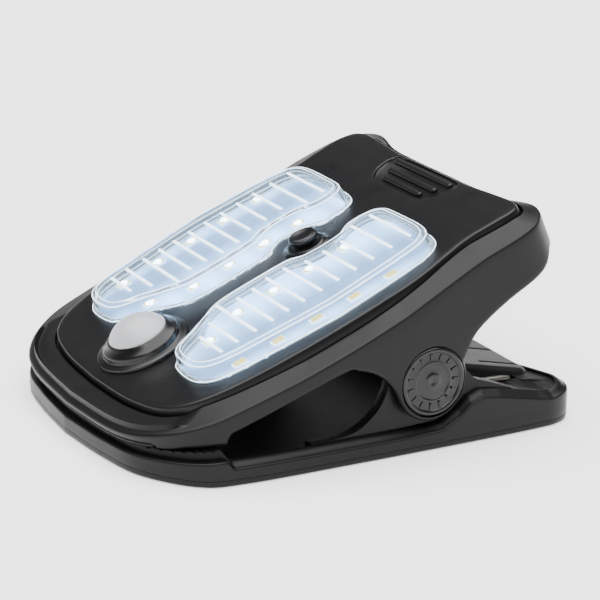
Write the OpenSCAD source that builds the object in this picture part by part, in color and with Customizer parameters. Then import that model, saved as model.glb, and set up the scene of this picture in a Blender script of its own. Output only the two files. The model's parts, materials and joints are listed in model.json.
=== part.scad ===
// Cordless clamp light with a motion sensor. A wide spring clamp lies on its flat lower arm, and its
// tilted upper arm carries two clear LED covers, a sensor dome, a push button and a finger grip.
// Millimetres, +Z up. The hinge axis runs along Y above the origin, and the jaws point towards -X.

/* [Clamp] */
// Height of the hinge axis above the surface that the lamp lies on
pivot_z = 17.9; // [17.6:0.1:18.4]
// Tilt of the upper arm with the jaws closed, in degrees
tilt = 23; // [22.5:0.1:23.5]
// Diameter of the steel hinge pin
pin_d = 4; // [3:0.5:5]
// Radial play of the pin in the ears
pin_play = 0.06; // [0.02:0.01:0.1]
// Radius of the round cheeks about the hinge
cheek_r = 10; // [9.6:0.1:10.4]
// Radius of the pivot caps
cap_r = 8.8; // [8:0.1:9]

/* [Upper arm] */
// Height of the top panel above the hinge axis, square to the panel
panel_h = 23; // [22.8:0.1:23.4]
// Rise of the top panel towards the handle
panel_rise = 1.2; // [0.8:0.1:1.4]
// Thickness of the top panel
panel_t = 2; // [1.6:0.1:2.2]
// Thickness of the side walls
wall = 2.2; // [1.8:0.1:2.4]
// Height of the housing's deck, where the top panel stands
deck_h = 20.4; // [20:0.1:20.6]

/* [Lamp covers] */
// Height of the covers above the panel
cover_h = 4.7; // [4:0.1:6]
// Wall of the covers
cover_wall = 1.2; // [1:0.1:1.6]
// Distance between neighbouring LEDs along a row
led_pitch = 11; // [10:0.1:11.2]
// LEDs in a row
leds_per_row = 5; // [4:1:5]
// Side of one LED package along the row
led_l = 3.5; // [2.8:0.1:4]

/* [Sensor and button] */
// Distance of the sensor dome ahead of the hinge axis, along the panel
pir_u = -49.1; // [-49.4:0.1:-48.8]
// Radius of the sensor's outer ring
pir_r = 12.2; // [11.8:0.1:12.4]
// Radius of the sensor dome
dome_r = 7.6; // [7.4:0.1:7.8]
// Height of the sensor ring's lip above the panel
ring_h = 4.5; // [4:0.1:5]
// Place of the button along the panel
button_u = 1.2; // [0.8:0.1:1.6]
// Radius of the button
button_r = 3.9; // [3.5:0.1:4.2]
// Travel of the button
button_travel = 0.8; // [0.4:0.1:0.8]

/* [Lower arm] */
// Thickness of the base cover
base_t = 1.7; // [1.5:0.1:2]
// Height of the tray's floor
tray_z = 4.4; // [4:0.1:4.8]
// Half-width of the raised rear plate
plate_half = 38; // [36:0.5:38]

/* [Power] */
// Radius of one AAA cell
cell_r = 5.25; // [5:0.05:5.25]
// Length of one AAA cell
cell_l = 44.5; // [43:0.5:45]

/* [Hidden] */

$fn = 64;
wide = 130;                         // wider than the whole lamp
fit = 0.15;                         // space round a piece that sits in another
pin_r = pin_d / 2;
panel_low = panel_h - panel_t;      // underside of the panel over the hinge

// Half outlines as [along the arm, half-width], front to rear; smooth curves run through them.
upper_outline = [[-73.4, 0], [-71.8, 24], [-67.2, 37], [-58, 46], [-45, 49.6], [-15, 52], [20, 50.4],
    [37, 49.8], [44.2, 46], [47.2, 38.5], [44.8, 27], [44.3, 14], [44.3, 0]];
panel_outline = [[-64.3, 0], [-63.2, 20], [-59, 34], [-48, 41], [-25, 44.6], [4, 44.8], [22, 42.4],
    [38, 42.6], [42.6, 38.6], [42.4, 28], [41.4, 16], [41.3, 0]];
lower_outline = [[-76, 0], [-74.5, 19], [-71.2, 34.5], [-61.8, 47.6], [-50, 50.9], [-20, 51.5], [10, 51.5],
    [30, 51], [37.5, 50.1], [42.2, 47], [43.9, 41.5], [42.6, 35], [40.2, 26], [39, 17], [39, 0]];
// Round the notch of the button collar, a cover's outline runs as an arc about the button.
cover_front = [[-49, 19], [-49.7, 25], [-49, 31.5], [-45, 36], [-36, 38.2]];
cover_rear = [[-12, 40.8], [10, 39.4], [18, 37.4], [21.4, 32], [21.8, 20], [21.2, 10], [18.4, 6.2],
    [12, 5.3]];
cover_nose = [[-12, 5.3], [-28, 5.3], [-34.5, 8], [-39.5, 13], [-46, 15.8]];
notch_r = 9.8;

// Side profiles. The upper arm's are [along the arm, height off the hinge axis, square to the panel].
wall_top = [[-80, 21.7], [-60, 20.9], [-30, 19.8], [0, 19.7], [25, 21.2], [36, 21], [50, 20.4]];
panel_top = [[-70, panel_h], [8, panel_h], [20, panel_h + 0.5], [28, panel_h + panel_rise],
    [36, panel_h + panel_rise], [50, panel_h - 0.2]];
lip_low = [[-76, 19.92], [-53.2, 13.6]];
lip_high = [[-76, 20.7], [-53.2, 15.6]];
arch_front = [[-51.3, 15.6], [-22, 15.3], [-16.6, 13.4], [-12.4, 9.2], [-10.4, 4.4], [-10, 0]];
arch_rear = [[10, 0], [12.4, 1.9], [17, 4.7], [27.3, 7], [39, 8.4], [44, 11], [50, 12]];
// The inner underside: over the throat, over the hinge and under the handle.
throat_h = 15.5;
hinge_h = 11.8;
handle_line = [[5, 6.9], [50, 10.6]];
skin = 1.5;                         // thickness of the underside cover
// The lower arm's are [along X, height].
jaw_top = [[-80, 4.7], [-57.2, 6.5]];
rim_top = [[-52.6, 4.5], [-6, 4.5], [3, 4.9], [8.2, 7.7], [11.4, 10.4], [14.6, 11.6], [20, 10.8],
    [31.6, 8.2], [36.1, 7.5], [48, 8.9]];
plate_front = [17.5, 14.9];
plate_rear = [39.2, 9.9];
groove_y = [7, 19.5, 32];           // the grooves on each side of the middle line
seat_x = 24.5;
rim_w = 3;                          // width of the lower arm's rim
rim_lip = 1.4;                      // rise of the rim's inner edge
ear_y = [45, 48.2];
ear_r = 10.6;
// Torsion springs.
wire_r = 0.9;
coil_r = 5.4;
coil_turns = 5;
coil_pitch = 2;
coil_in = 31;                       // where the coil starts along Y
leg_upper_l = 27;
leg_lower_l = 29;
leg_upper_tilt = 4.8;               // the legs' slopes, in degrees
leg_lower_tilt = -3;
seat_z = pivot_z - coil_r / cos(leg_lower_tilt) + (seat_x + 4.5) * tan(leg_lower_tilt) - wire_r - 0.02;

cell_u = [12.9, 23.55, 34.2];
cell_h = [14.2, 15.1, 16];
cell_bay = 25;                      // half-width of the battery compartment
door_u = [7.4, 40];
door_t = 1.2;
window_in = 1.6;                    // how far the panel's windows lie inside the covers' outlines
ledge = 1.8;                        // width of the ledge inside a window, which carries the LED board
cover_foot = 0.8;                   // thickness of a cover's foot, which stands on the panel
jaw_front = 9;                      // depth of the closed jaw front
throat_back = -12;
hinge_back = 5;
board_t = 1.2;
board_h = panel_h - 0.1 - board_t;  // LED boards lie just under the panel's top
control_h = 17.4;
led_t = 0.8;
led_w = 2.8;
sensor_r = 4.6;

function cr(p0, p1, p2, p3, t) = 0.5 * (2 * p1 + (p2 - p0) * t + (2 * p0 - 5 * p1 + 4 * p2 - p3) * t * t
    + (3 * p1 - p0 - 3 * p2 + p3) * t * t * t);
// A smooth curve through points, with n steps between neighbours.
function smooth(p, n) = [for (i = [0 : len(p) - 2]) for (k = [0 : n - 1])
    cr(p[max(i - 1, 0)], p[i], p[i + 1], p[min(i + 2, len(p) - 1)], k / n), p[len(p) - 1]];
function flip(p) = [for (i = [len(p) - 1 : -1 : 0]) p[i]];
// A half outline that starts and ends on the middle line, with its mirror image.
function whole(p) = concat(p, [for (i = [len(p) - 2 : -1 : 1]) [p[i][0], -p[i][1]]]);
function raise(p, d) = [for (q = p) [q[0], q[1] + d]];
function arc(c, r, a, b, n) = [for (i = [0 : n]) let (t = a + (b - a) * i / n) c + r * [cos(t), sin(t)]];

cover_outline = concat(smooth(cover_front, 4), [[-23, 39.7]], smooth(cover_rear, 4),
    arc([button_u, 0], notch_r, 36, 144, 12), smooth(cover_nose, 3));

module in_upper() translate([0, 0, pivot_z]) rotate([0, -tilt, 0]) children();
// Extrudes a [along, height] shape over the whole width, or between two places along Y.
module across() rotate([90, 0, 0]) linear_extrude(height = wide, center = true) children();
module between(y0, y1) translate([0, y1, 0]) rotate([90, 0, 0]) linear_extrude(height = y1 - y0) children();
module both_sides() {
    children();
    mirror([0, 1, 0]) children();
}
module outline(p, inset) offset(delta = -inset) polygon(whole(smooth(p, 4)));
module prism(p, inset, low, high) translate([0, 0, low]) linear_extrude(height = high - low)
    outline(p, inset);

// ---------------------------------------------------------------- lower arm
module rim_profile(rise) polygon(concat([[-53, base_t]], raise(rim_top, rise), [[48, base_t]]));
module ear_profile() {
    translate([0, pivot_z]) circle(r = ear_r);
    polygon([[-32, tray_z], [-32, 6], [-23.7, 6.4], [-18.6, 7.7], [-14.1, 11.2], [-11.6, 15.2], [-10.4, 19],
        [10.4, 19], [12, 17.3], [14.6, 15.2], [19, 13.6], [27, 10.4], [34, tray_z]]);
}
module plate_profile(drop) polygon([plate_front + [drop / 3, -drop], plate_rear - [0, drop],
    [plate_rear[0], tray_z], [plate_front[0] - 6 + drop, tray_z]]);
module plate_plan(inset) offset(r = 5 - inset) offset(delta = -5) translate([0, -plate_half])
    square([plate_rear[0], 2 * plate_half]);
module tray() {
    // side walls with a raised inner lip
    intersection() {
        difference() {
            prism(lower_outline, 0, base_t, 16);
            prism(lower_outline, rim_w / 2, 0, 17);
        }
        across() rim_profile(0);
    }
    intersection() {
        difference() {
            prism(lower_outline, rim_w / 2, base_t, 16);
            prism(lower_outline, rim_w, 0, 17);
        }
        across() rim_profile(rim_lip);
    }
    // jaw end, solid under its pad
    intersection() {
        prism(lower_outline, 0, base_t, 10);
        across() polygon([[-80, base_t], each jaw_top, [-53.4, 4.5], [-53.4, base_t]]);
    }
    // floor
    intersection() {
        prism(lower_outline, rim_w, tray_z - skin, tray_z);
        translate([-54, -wide / 2, 0]) cube([wide, wide, 20]);
    }
}
module rear_plate() {
    difference() {
        intersection() {
            across() plate_profile(0);
            linear_extrude(height = 20) plate_plan(0);
        }
        intersection() {
            across() plate_profile(skin);
            linear_extrude(height = 20) plate_plan(skin);
        }
        // lengthwise grooves
        for (y = groove_y) for (s = [-1, 1]) between(s * y - 0.5, s * y + 0.5)
            polygon([plate_front + [7, -2.4], plate_front + [8, 0], plate_rear + [-2, 1.6],
                plate_rear + [-1.4, -0.5]]);
    }
    // posts that the springs' lower legs lie on
    both_sides() translate([seat_x, coil_in + coil_pitch * coil_turns - 1.8, tray_z - 1])
        cube([4.5, 3.6, seat_z - tray_z + 1]);
}
module lower_shell() color("#202124") difference() {
    union() {
        tray();
        rear_plate();
        both_sides() between(ear_y[0], ear_y[1]) ear_profile();
        for (p = screw_places) translate([p[0], p[1], base_t]) cylinder(r = 3, h = tray_z - base_t);
    }
    translate([0, 0, pivot_z]) rotate([90, 0, 0]) cylinder(r = pin_r + pin_play, h = wide, center = true);
    for (p = screw_places) translate([p[0], p[1], base_t - 1]) cylinder(r = 1.1, h = 3.2);
}
screw_places = [[-40, 38], [-40, -38], [31, 40], [31, -40]];

module base_cover() color("#1b1c1e") difference() {
    intersection() {
        prism(lower_outline, 0.2, 0, base_t);
        across() polygon([[-80, 0.9], [-75.4, 0], [42.4, 0], [43.4, 0.5], [43.9, base_t], [-80, base_t]]);
    }
    for (p = screw_places) translate([p[0], p[1], 0]) {
        translate([0, 0, -1]) cylinder(r = 1.6, h = 4);
        translate([0, 0, -1]) cylinder(r = 3, h = 1.9);
    }
}
// A pan-head screw that points up, with its seat at the origin.
module screw(head_r, head_h, shank_r, shank_l) difference() {
    union() {
        translate([0, 0, -head_h]) cylinder(r = head_r, h = head_h);
        cylinder(r = shank_r, h = shank_l);
    }
    for (a = [0, 90]) rotate([0, 0, a]) translate([-head_r * 0.6, -0.25, -head_h - 0.1])
        cube([head_r * 1.2, 0.5, 0.6]);
}
module base_screws() color("silver") for (p = screw_places) translate([p[0], p[1], 0.9])
    screw(2.8, 0.8, 1.1, 2.8);

pad_h_front = 6.45;
pad_h_rear = 8.95;
teeth = 10;
module jaw_pad_lower() color("#17181a") intersection() {
    prism(lower_outline, 1.2, 3, 12);
    across() difference() {
        polygon([[-80, 4.7], [-57.2, 6.5], [-54.2, 6.2], [-56.4, pad_h_rear], [-75, pad_h_front],
            [-80, pad_h_front]]);
        for (i = [0 : teeth - 1]) translate([-74.2 + 1.8 * i, pad_h_front + 0.24 * i + 0.25])
            rotate([0, 0, 45]) square(0.9, center = true);
    }
}

// A round wire along a path of points, as one closed skin.
function unit(v) = v / norm(v);
function wire_ring(p, i, r, sides) = let (
    t = unit(p[min(i + 1, len(p) - 1)] - p[max(i - 1, 0)]),
    side = unit(cross(t, abs(t[1]) < 0.9 ? [0, 1, 0] : [1, 0, 0])),
    up = cross(side, t))
    [for (k = [0 : sides - 1]) p[i] + r * (cos(360 * k / sides) * side + sin(360 * k / sides) * up)];
module wire(p, r, sides = 10) polyhedron(
    points = [for (i = [0 : len(p) - 1]) each wire_ring(p, i, r, sides)],
    faces = [[for (k = [0 : sides - 1]) k],
        for (i = [0 : len(p) - 2]) for (k = [0 : sides - 1]) let (n = (k + 1) % sides)
            [i * sides + k, (i + 1) * sides + k, (i + 1) * sides + n, i * sides + n],
        [for (k = [sides - 1 : -1 : 0]) (len(p) - 1) * sides + k]]);
// Point on the coil at an angle from straight up, turning towards -X, at a place along Y.
function coil_point(a, y) = [-coil_r * sin(a), y, pivot_z + coil_r * cos(a)];
module spring() {
    a0 = tilt + leg_upper_tilt;
    a1 = 180 - leg_lower_tilt + 360 * (coil_turns - 1);
    steps = 20 * coil_turns;
    coil = [for (i = [0 : steps]) let (s = i / steps)
        coil_point(a0 + (a1 - a0) * s, coil_in + coil_pitch * coil_turns * s)];
    upper_end = coil[0] + leg_upper_l * [cos(a0), 0, sin(a0)];
    lower_end = coil[steps] + leg_lower_l * [cos(leg_lower_tilt), 0, sin(leg_lower_tilt)];
    wire(concat([upper_end], coil, [lower_end]), wire_r);
}
module spring_near() color("silver") mirror([0, 1, 0]) spring();
module spring_far() color("silver") spring();

// ---------------------------------------------------------------- upper arm
module upper_profile() {
    polygon(concat(lip_high, smooth(arch_front, 3), smooth(arch_rear, 3), flip(wall_top)));
    circle(r = cheek_r);
}
module upper_housing() color("#1c1d1f") in_upper() difference() {
    union() {
        // side walls and cheeks
        intersection() {
            difference() {
                prism(upper_outline, 0, -12, 23);
                prism(upper_outline, wall, -13, 24);
            }
            across() upper_profile();
        }
        // deck that the panel stands on
        intersection() {
            difference() {
                prism(upper_outline, 1, deck_h - 1.8, deck_h);
                prism(panel_outline, 2, 0, 30);
            }
            across() polygon(concat(lip_high, [[-50, 15], [50, 15]], flip(wall_top)));
        }
        // jaw front, closed round the lip
        intersection() {
            difference() {
                prism(upper_outline, 0, 13, deck_h);
                prism(upper_outline, jaw_front, 12, 30);
            }
            across() polygon(concat(lip_high, [[-53.2, deck_h], [-76, deck_h + 1]]));
        }
        side_skirt(2);
        // bosses that the underside's screws go into
        for (p = cover_screws) translate([p[0], p[1], throat_h + skin + fit])
            cylinder(r = 2.4, h = deck_h - 0.8 - throat_h - skin - fit);
        // ridge round the front ledge
        intersection() {
            difference() {
                prism(upper_outline, 1.7, deck_h - 0.4, 22.1);
                prism(upper_outline, 2.9, 0, 30);
            }
            translate([-80, -wide / 2, 0]) cube([12, wide, 30]);
        }
    }
    both_sides() translate([0, 50.4, 0]) rotate([-90, 0, 0]) cylinder(r = cap_r + 0.2, h = 10);
    rotate([90, 0, 0]) cylinder(r = pin_r + 0.02, h = wide, center = true);
    for (p = cover_screws) translate([p[0], p[1], 0]) cylinder(r = 1.1, h = deck_h - 1.2);
}
cover_screws = [[-44, 42], [-44, -42], [-24, 42], [-24, -42]];

// The side walls run down past the lip, from the front corners back.
skirt_front = -66.8;
module side_skirt(depth) intersection() {
    difference() {
        prism(upper_outline, 0, 12, 22);
        prism(upper_outline, depth, 11, 23);
    }
    translate([skirt_front, -wide / 2, 10]) cube([-52 - skirt_front, wide, 12]);
    across() polygon(concat(lip_low, [[-52, 15.6], [-52, 16]], flip(raise(lip_high, 0.2))));
}
module jaw_pad_upper() color("#222326") in_upper() difference() {
    intersection() {
        prism(upper_outline, 0, 10, 24);
        across() difference() {
            polygon(concat(lip_low, flip(lip_high)));
            for (i = [0 : teeth - 1]) translate([-71 + 1.8 * i, 18.6 - 0.5 * i])
                rotate([0, 0, 45]) square(0.6, center = true);
        }
    }
    difference() {
        translate([skirt_front - fit, -wide / 2, 10]) cube([20, wide, 12]);
        prism(upper_outline, 2 + fit, 9, 23);
    }
}

module bottom_profile() polygon([[-56.6, 16.7], [-52.8, throat_h], [throat_back, throat_h],
    [throat_back, hinge_h], [hinge_back, hinge_h], [hinge_back, handle_line[0][1]], handle_line[1],
    handle_line[1] + [0, skin],
    [hinge_back + skin, handle_line[0][1] + skin], [hinge_back + skin, hinge_h + skin],
    [throat_back + skin, hinge_h + skin], [throat_back + skin, throat_h + skin], [-53, throat_h + skin],
    [-56.6, 18]]);
module bottom_cover() color("#191a1c") in_upper() difference() {
    union() {
        intersection() {
            difference() {
                prism(upper_outline, wall + fit, 0, 24);
                // room for the closed jaw front
                intersection() {
                    prism(upper_outline, 0, 0, 24);
                    translate([-80, -wide / 2, 0]) cube([80 - 53, wide, 24]);
                }
            }
            across() bottom_profile();
        }
        intersection() {
            prism(upper_outline, jaw_front + fit, 0, 24);
            translate([-80, -wide / 2, 0]) cube([80 - 50, wide, 24]);
            across() bottom_profile();
        }
        // side walls of the battery compartment
        both_sides() between(cell_bay, cell_bay + skin)
            polygon([[door_u[0], 8.2], [41.8, 11.1], [41.8, 18.4], [door_u[0], 18.4]]);
    }
    translate([door_u[0], -cell_bay + 1, 0]) cube([door_u[1] - door_u[0], 2 * cell_bay - 2, 14]);
    both_sides() translate([0, ear_y[0] - 1, 0]) rotate([-90, 0, 0]) cylinder(r = ear_r + 0.8, h = 10);
    for (p = cover_screws) translate([p[0], p[1], 0]) {
        cylinder(r = 2.4, h = throat_h + 0.5);
        cylinder(r = 1.1, h = 20);
    }
}

// Height at u on a straight line between two points.
function slope(line, u) = line[0][1]
    + (u - line[0][0]) * (line[1][1] - line[0][1]) / (line[1][0] - line[0][0]);
module battery_door() color("#1e1f21") in_upper() difference() {
    intersection() {
        translate([door_u[0] + fit, -cell_bay + 1 + fit, 0])
            cube([door_u[1] - door_u[0] - 2 * fit, 2 * (cell_bay - 1 - fit), 14]);
        across() polygon([handle_line[0] + [0, 0.1], handle_line[1] + [0, 0.1], handle_line[1] + [0, door_t],
            handle_line[0] + [0, door_t]]);
    }
    translate([door_u[1] - 3, 0, 0]) cylinder(r = 1.6, h = 20);
}
module door_screw() color("silver") in_upper()
    translate([door_u[1] - 3, 0, slope(handle_line, door_u[1] - 3) + 0.1]) cylinder(r = 1.5, h = door_t);

module window(inset) offset(delta = -inset) polygon(cover_outline);
module top_panel() color("#232427") in_upper() difference() {
    union() {
        intersection() {
            prism(panel_outline, 0, panel_low, 26);
            across() polygon(concat([[-70, panel_low]], panel_top, [[50, panel_low + panel_rise],
                [20, panel_low + panel_rise], [2, panel_low]]));
        }
        // skirt that stands on the deck
        difference() {
            prism(panel_outline, 0, deck_h, panel_low + 0.2);
            prism(panel_outline, 1.4, 0, 30);
        }
    }
    both_sides() translate([0, 0, 10]) linear_extrude(height = 20) window(window_in + ledge);
    both_sides() translate([0, 0, board_h]) linear_extrude(height = 9) window(window_in);
    // flat seats for the covers and the collar
    both_sides() translate([0, 0, panel_h]) linear_extrude(height = 9) window(-fit);
    translate([button_u, 0, panel_h]) cylinder(r = collar_r + fit, h = 9);
    translate([pir_u, 0, 10]) cylinder(r = dome_r + 0.6, h = 20);
    translate([button_u, 0, 10]) cylinder(r = button_r + 1.8, h = 20);
    grip_recess();
}
// The finger grip is a shallow recess with raised bars, given as [place along the arm, half-length].
grips = [[38.6, 13.4], [35, 11.2], [31.8, 8.8]];
grip_r = 0.8;
recess = 0.8;
grip_outline = [[29.4, 0], [29.6, 9.6], [30.5, 12.6], [32.7, 14.8], [35.1, 15.7], [37.9, 16.2], [40.2, 14.8],
    [40.8, 11], [40.9, 0]];
module grip_bar(g) {
    translate([g[0] - grip_r, -g[1], 0]) cube([2 * grip_r, 2 * g[1], 30]);
    for (s = [-1, 1]) translate([g[0], s * g[1], 0]) cylinder(r = grip_r, h = 30);
}
module grip_recess() difference() {
    prism(grip_outline, 0, panel_h + panel_rise - recess, 30);
    intersection() {
        union() for (g = grips) grip_bar(g);
        translate([20, -wide / 2, 0]) cube([30, wide, panel_h + panel_rise - 0.1]);
    }
}

module cover_solid(grow) {
    translate([0, 0, panel_h]) linear_extrude(height = cover_h - 1.5 + grow) window(-grow);
    translate([0, 0, panel_h]) linear_extrude(height = cover_h - 0.6 + grow) window(0.6 - grow);
    translate([0, 0, panel_h]) linear_extrude(height = cover_h + grow) window(1.5 - grow);
}
module lens_cover() difference() {
    cover_solid(0);
    intersection() {
        cover_solid(-cover_wall);
        translate([-wide / 2, -wide / 2, panel_h + cover_foot]) cube(wide);
    }
    translate([0, 0, panel_h - 1]) linear_extrude(height = cover_foot + 1.2) window(window_in + fit);
}
module lens_cover_far() color([0.85, 0.92, 1, 0.5]) in_upper() lens_cover();
module lens_cover_near() color([0.85, 0.92, 1, 0.5]) in_upper() mirror([0, 1, 0]) lens_cover();

module led_board() translate([0, 0, board_h]) linear_extrude(height = board_t) window(window_in + fit);
module led_board_far() color("white") in_upper() led_board();
module led_board_near() color("white") in_upper() mirror([0, 1, 0]) led_board();

// Two rows of LEDs that follow the sides of the cover.
led_start = -38;
led_outer = [33.8, 36];
led_inner = 13;
module leds() for (i = [0 : leds_per_row - 1]) {
    along = led_start + led_pitch * i;
    outer = led_outer[0] + (led_outer[1] - led_outer[0]) * i / (leds_per_row - 1);
    inner = led_inner + max(0, -30 - along) * 0.6;
    for (v = [inner, outer]) translate([along - led_l / 2, v - led_w / 2, board_h + board_t])
        cube([led_l, led_w, led_t]);
}
module leds_far() color("#f2e08a") in_upper() leds();
module leds_near() color("#f2e08a") in_upper() mirror([0, 1, 0]) leds();

module control_board() color("#1f6b3a") in_upper() translate([0, 0, control_h]) difference() {
    translate([-53.6, -13, 0]) cube([61.4, 26, board_t]);
    for (u = [-51, 5]) for (v = [-10, 10]) translate([u, v, -1]) cylinder(r = 1.2, h = 4);
}

module pir_ring() color("#1a1b1d") in_upper() translate([pir_u, 0, panel_h]) difference() {
    rotate_extrude($fn = 96) polygon([[dome_r + 0.15, 0], [pir_r, 0], [pir_r, 0.6], [pir_r - 0.4, 1],
        [pir_r - 1.9, 1.1], [pir_r - 2, 2.4], [pir_r - 2.4, ring_h - 1.7], [dome_r + 0.5, ring_h],
        [dome_r + 0.15, ring_h - 0.2]]);
    translate([0, 0, -1]) cylinder(r = 1, h = 0.5);
}
// A straight neck with a domed cap on top.
cap_curve = 9.2;
cap_centre = ring_h - sqrt(cap_curve * cap_curve - dome_r * dome_r);
module dome_profile(inset) intersection() {
    translate([0, -panel_t - inset * 2]) square([dome_r - inset, 20]);
    translate([0, cap_centre]) circle(r = cap_curve - inset, $fn = 128);
}
module pir_dome() color("#e6e7e9") in_upper() translate([pir_u, 0, panel_h]) rotate_extrude($fn = 96)
    difference() {
        union() {
            dome_profile(0);
            translate([0, -panel_t]) square([dome_r + 0.4, panel_t]);
        }
        dome_profile(0.9);
        translate([0, -panel_t - 1]) square([dome_r - 0.9, panel_t + 1]);
    }
module pir_sensor() color("silver") in_upper() translate([pir_u, 0, control_h + board_t]) {
    cylinder(r = sensor_r, h = 0.6);
    cylinder(r = sensor_r - 0.5, h = 4.2);
}

collar_r = 6.4;
collar_h = 1.3;
head_low = collar_h + button_travel + 0.2;      // the head keeps off the collar at full press
module button_collar() color("#202124") in_upper() translate([button_u, 0, panel_h]) rotate_extrude()
    polygon([[button_r - 0.6, 0], [collar_r, 0], [collar_r - 0.2, 0.35], [5.4, 0.6], [5.1, 1],
        [4.6, collar_h], [button_r - 0.6, collar_h]]);
stem_r = button_r - 0.9;
switch_h = 2.8;
plunger_r = 1.75;
module button() color("#26272a") in_upper() translate([button_u, 0, panel_h]) {
    translate([0, 0, -0.6]) cylinder(r = stem_r, h = head_low + 1);
    translate([0, 0, -0.6]) cylinder(r = button_r + 0.6, h = 0.4);
    rotate_extrude() polygon([[0, head_low], [button_r - 0.5, head_low], [button_r, head_low + 0.25],
        [button_r, head_low + 0.9], [button_r - 0.3, head_low + 1.2], [button_r - 0.9, head_low + 1.3],
        [0, head_low + 1.1]]);
}
module tact_switch() color("#3a3b3d") in_upper() translate([button_u, 0, control_h + board_t]) difference() {
    translate([-3, -3, 0]) cube([6, 6, switch_h]);
    translate([0, 0, 1]) cylinder(r = plunger_r + pin_play, h = 9);
}
module switch_plunger() color("#111111") in_upper()
    translate([button_u, 0, control_h + board_t + 2])
        cylinder(r = plunger_r, h = panel_h - 0.6 - control_h - board_t - 2);

// Neighbouring cells lie head to tail. Each has its button end on a plate and a spring behind it.
plate_in = cell_bay - 0.4;
contact_gap = 2 * plate_in - cell_l;
contact_turns = 8;
contact_wire = 0.35;
function cell_way(i) = i == 1 ? -1 : 1;
module cell(i) color("#8c9196") in_upper() translate([cell_u[i], cell_way(i) * plate_in, cell_h[i]])
    rotate([cell_way(i) * 90, 0, 0]) {
        translate([0, 0, 0.8]) cylinder(r = cell_r, h = cell_l - 0.8);
        cylinder(r = 1.9, h = 0.8);
    }
module battery_1() cell(0);
module battery_2() cell(1);
module battery_3() cell(2);
module contact_plates() color("silver") in_upper() for (i = [0 : 2]) for (s = [-1, 1])
    translate([cell_u[i] - 3.5, s > 0 ? plate_in : -cell_bay, cell_h[i] - 3.5]) cube([7, 0.4, 7]);
// Each contact spring is a close-wound cone of rings that narrows towards the cell.
module contact_spring(length) for (k = [0 : contact_turns - 1]) let (s = k / (contact_turns - 1))
    translate([0, 0, contact_wire + s * (length - 2 * contact_wire)]) rotate_extrude()
        translate([3.2 - 1.2 * s, 0]) circle(r = contact_wire, $fn = 24);
module contact_springs() color("silver") in_upper() for (i = [0 : 2])
    translate([cell_u[i], -cell_way(i) * plate_in, cell_h[i]]) rotate([-cell_way(i) * 90, 0, 0])
        contact_spring(contact_gap);

module housing_screws() color("silver") in_upper() for (p = cover_screws)
    translate([p[0], p[1], throat_h + 0.5]) rotate([0, 0, 45]) screw(2.2, 0.5, 1, 3);

module pivot_pin() color("silver") translate([0, 0, pivot_z]) rotate([90, 0, 0])
    cylinder(r = pin_r, h = 100.8, center = true);
module pivot_cap() translate([0, 50.4, pivot_z]) rotate([-90, 0, 0]) difference() {
    union() {
        cylinder(r = cap_r, h = 0.8);
        difference() {
            rotate_extrude() polygon([[0, 0.7], [cap_r, 0.7], [cap_r - 0.3, 1.2], [cap_r - 0.9, 1.4],
                [cap_r - 1.4, 1.1], [5.2, 1.1], [4.9, 0.9], [2, 0.9], [1.6, 1.2], [0.6, 1.3], [0, 1.1]]);
            for (a = [0 : 24 : 359]) rotate([0, 0, a]) translate([5.8, -0.25, 0.95]) cube([1.4, 0.5, 2]);
        }
    }
    translate([0, 0, -1]) cylinder(r = 1, h = 1.2);
}
module pivot_cap_far() color("#242528") pivot_cap();
module pivot_cap_near() color("#242528") mirror([0, 1, 0]) pivot_cap();

lower_shell();
base_cover();
base_screws();
jaw_pad_lower();
spring_near();
spring_far();
upper_housing();
bottom_cover();
top_panel();
jaw_pad_upper();
lens_cover_near();
lens_cover_far();
led_board_near();
led_board_far();
leds_near();
leds_far();
control_board();
pir_ring();
pir_dome();
pir_sensor();
button_collar();
tact_switch();
battery_1();
battery_2();
battery_3();
contact_plates();
contact_springs();
battery_door();
door_screw();
housing_screws();
pivot_pin();
pivot_cap_near();
pivot_cap_far();
button();
switch_plunger();
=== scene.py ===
"""Clamp light with a motion sensor: the looks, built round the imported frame.

Most pieces are lofted: a ring is one closed line of points round the lamp, and skin() joins rings.
Points on the upper arm are (along the arm, across, height off the hinge axis), in millimetres.
"""

import json
import math

import bmesh
import bpy
import numpy as np
from mathutils import Matrix, Vector


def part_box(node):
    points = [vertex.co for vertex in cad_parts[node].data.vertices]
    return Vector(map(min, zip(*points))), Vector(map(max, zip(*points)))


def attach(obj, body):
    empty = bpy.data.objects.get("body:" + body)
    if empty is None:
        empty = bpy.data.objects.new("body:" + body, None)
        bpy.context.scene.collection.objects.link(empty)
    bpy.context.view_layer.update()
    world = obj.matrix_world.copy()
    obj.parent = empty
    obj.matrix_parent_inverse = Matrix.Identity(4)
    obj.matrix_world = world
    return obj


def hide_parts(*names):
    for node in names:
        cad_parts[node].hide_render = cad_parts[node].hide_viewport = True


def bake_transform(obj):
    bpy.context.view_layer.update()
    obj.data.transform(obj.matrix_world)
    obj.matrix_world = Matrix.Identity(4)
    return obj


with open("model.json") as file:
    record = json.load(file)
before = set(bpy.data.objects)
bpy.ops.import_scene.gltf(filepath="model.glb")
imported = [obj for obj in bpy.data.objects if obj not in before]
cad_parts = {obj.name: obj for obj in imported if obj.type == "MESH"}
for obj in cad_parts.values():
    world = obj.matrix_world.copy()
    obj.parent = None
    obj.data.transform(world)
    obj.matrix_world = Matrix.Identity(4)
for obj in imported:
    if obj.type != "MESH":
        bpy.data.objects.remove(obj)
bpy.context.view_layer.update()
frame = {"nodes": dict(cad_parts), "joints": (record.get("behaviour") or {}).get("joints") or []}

MM = 0.001
press_axis = next(j for j in frame["joints"] if j["name"] == "press")["axis"]
TILT = math.atan2(press_axis[0], -press_axis[2])
pin_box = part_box("pivot_pin")
PIVOT_Z = (pin_box[0].z + pin_box[1].z) / 2 / MM

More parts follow.
